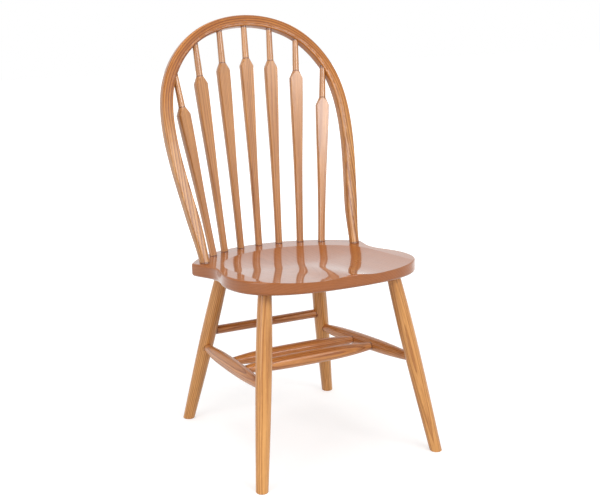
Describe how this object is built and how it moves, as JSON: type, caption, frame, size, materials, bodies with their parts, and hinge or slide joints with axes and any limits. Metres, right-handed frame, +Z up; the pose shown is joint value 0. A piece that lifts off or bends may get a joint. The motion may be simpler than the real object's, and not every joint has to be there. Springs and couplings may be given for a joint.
{
  "type": "windsor chair",
  "caption": "Bow-back windsor side chair in golden oak: arched bow, flat-faced arrow spindles, shaped saddle seat, splayed turned legs and doubled cross stretchers.",
  "frame": {"origin": "on the floor, below the middle of the chair's overall width and depth", "axes": "+Z up; -Y is the front, where the sitter's knees are; +X to the right seen from the front"},
  "size_m": [0.5088, 0.5766, 0.9981],
  "materials": {
    "seat_wood": "high-gloss varnish over red-brown stain",
    "bow_wood": "glossy golden oak varnish",
    "spindle_wood": "glossy golden oak varnish",
    "leg_wood": "satin golden oak varnish",
    "stretcher_wood": "satin golden oak varnish"
  },
  "bodies": {
    "root": {"seat": "seat_wood", "bow": "bow_wood", "spindle_1": "spindle_wood", "spindle_2": "spindle_wood", "spindle_3": "spindle_wood", "spindle_4": "spindle_wood", "spindle_5": "spindle_wood", "spindle_6": "spindle_wood", "spindle_7": "spindle_wood", "leg_front_left": "leg_wood", "leg_front_right": "leg_wood", "leg_rear_left": "leg_wood", "leg_rear_right": "leg_wood", "stretcher_side_left": "stretcher_wood", "stretcher_side_right": "stretcher_wood", "stretcher_cross_front": "stretcher_wood", "stretcher_cross_rear": "stretcher_wood", "stretcher_rear": "stretcher_wood"}
  },
  "joints": []
}
